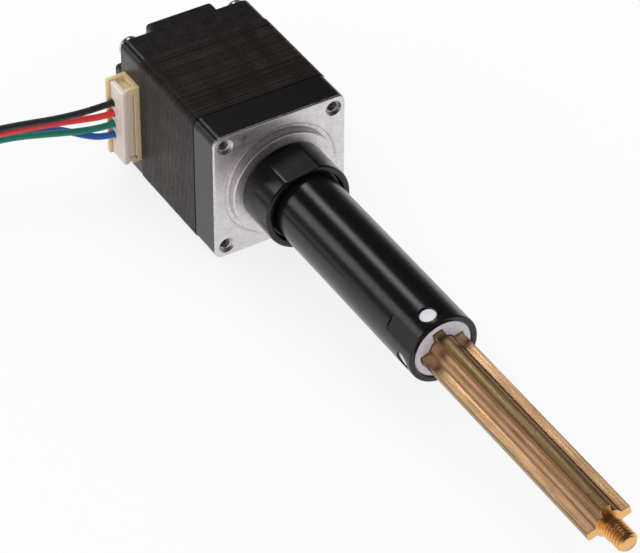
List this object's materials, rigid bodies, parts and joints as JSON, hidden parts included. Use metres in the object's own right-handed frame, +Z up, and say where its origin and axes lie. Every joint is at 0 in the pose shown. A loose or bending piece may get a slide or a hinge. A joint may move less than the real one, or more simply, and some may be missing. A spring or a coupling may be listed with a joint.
{
  "type": "linear stepper actuator",
  "caption": "Captive linear stepper actuator: a square motor drives a splined brass rod out of a guide tube, with a threaded end stud and a plug-in lead.",
  "frame": {"origin": "centre of the square front mounting face, on the rod's axis", "axes": "+X out of the front face along the rod, +Z up, the lead connector on the -Y side; the motor lies on its -Z side"},
  "size_m": [0.1615, 0.0945, 0.028],
  "materials": {
    "bell_aluminium": "machined front face, black painted sides",
    "stator_steel": "stacked silicon steel laminations",
    "insulator_nylon": "moulded nylon",
    "enamelled_copper": "enamelled copper wire",
    "cover_paint": "semi-gloss black paint on aluminium",
    "screw_zinc": "zinc-plated steel",
    "bearing_steel": "ground bearing steel",
    "cage_steel": "pressed steel",
    "spring_steel": "spring steel strip",
    "shaft_steel": "turned stainless steel",
    "nut_acetal": "moulded acetal",
    "rotor_steel": "stacked and ground laminations",
    "magnet_nickel": "nickel-plated magnet",
    "black_anodise": "black anodised aluminium",
    "bush_acetal": "moulded white acetal",
    "rod_brass": "drawn brass with a brown patina",
    "header_nylon": "natural nylon, slightly yellow",
    "tinned_brass": "tin-plated brass",
    "tinned_copper": "tinned copper strands",
    "board_laminate": "glass epoxy board",
    "plug_nylon": "natural nylon, milky white",
    "lead_black": "black insulation",
    "lead_red": "red insulation",
    "lead_green": "green insulation",
    "lead_blue": "blue insulation",
    "lead_coil_mix": "four leads wound together",
    "tie_nylon": "white nylon band"
  },
  "bodies": {
    "housing": {"front_bell": "bell_aluminium", "stator_stack": "stator_steel", "front_insulator": "insulator_nylon", "rear_insulator": "insulator_nylon", "coil_windings": "enamelled_copper", "rear_cover": "cover_paint", "through_screws": "screw_zinc", "front_outer_ring": "bearing_steel", "rear_outer_ring": "bearing_steel", "wave_washer": "spring_steel", "collar": "black_anodise", "guide_tube": "black_anodise", "guide_bush": "bush_acetal", "connector_header": "header_nylon", "header_pins": "tinned_brass", "winding_board": "board_laminate", "connector_plug": "plug_nylon", "crimp_terminals": "tinned_brass", "wire_black": "lead_black", "wire_red": "lead_red", "wire_green": "lead_green", "wire_blue": "lead_blue", "lead_coil": "lead_coil_mix", "lead_tie": "tie_nylon", "wire_tips": "tinned_copper"},
    "rotor": {"rotor_shaft": "shaft_steel", "drive_nut": "nut_acetal", "rotor_core_front": "rotor_steel", "rotor_core_rear": "rotor_steel", "rotor_magnet": "magnet_nickel", "front_inner_ring": "bearing_steel", "rear_inner_ring": "bearing_steel"},
    "rod": {"splined_rod": "rod_brass", "stop_ring": "shaft_steel", "lead_screw": "shaft_steel"},
    "front_ball_set": {"front_balls": "bearing_steel", "front_cage": "cage_steel"},
    "rear_ball_set": {"rear_balls": "bearing_steel", "rear_cage": "cage_steel"}
  },
  "joints": [
    {"name": "rotor_spin", "type": "hinge", "parent": "housing", "child": "rotor", "pos_m": [0, 0, 0], "axis": [1, 0, 0], "range_deg": [0, 2721.5]},
    {"name": "rod_slide", "type": "slide", "parent": "housing", "child": "rod", "axis": [1, 0, 0], "range_m": [-0.048, 0]},
    {"name": "front_ball_set_spin", "type": "hinge", "parent": "housing", "child": "front_ball_set", "pos_m": [-0.0032, 0, 0], "axis": [1, 0, 0], "range_deg": [0, 1134]},
    {"name": "rear_ball_set_spin", "type": "hinge", "parent": "housing", "child": "rear_ball_set", "pos_m": [-0.0325, 0, 0], "axis": [1, 0, 0], "range_deg": [0, 1134]}
  ],
  "couplings": [
    {"joint": "rotor_spin", "follows": "rod_slide", "rad_per_m": -989.48},
    {"joint": "front_ball_set_spin", "follows": "rod_slide", "rad_per_m": -412.28},
    {"joint": "rear_ball_set_spin", "follows": "rod_slide", "rad_per_m": -412.28}
  ]
}
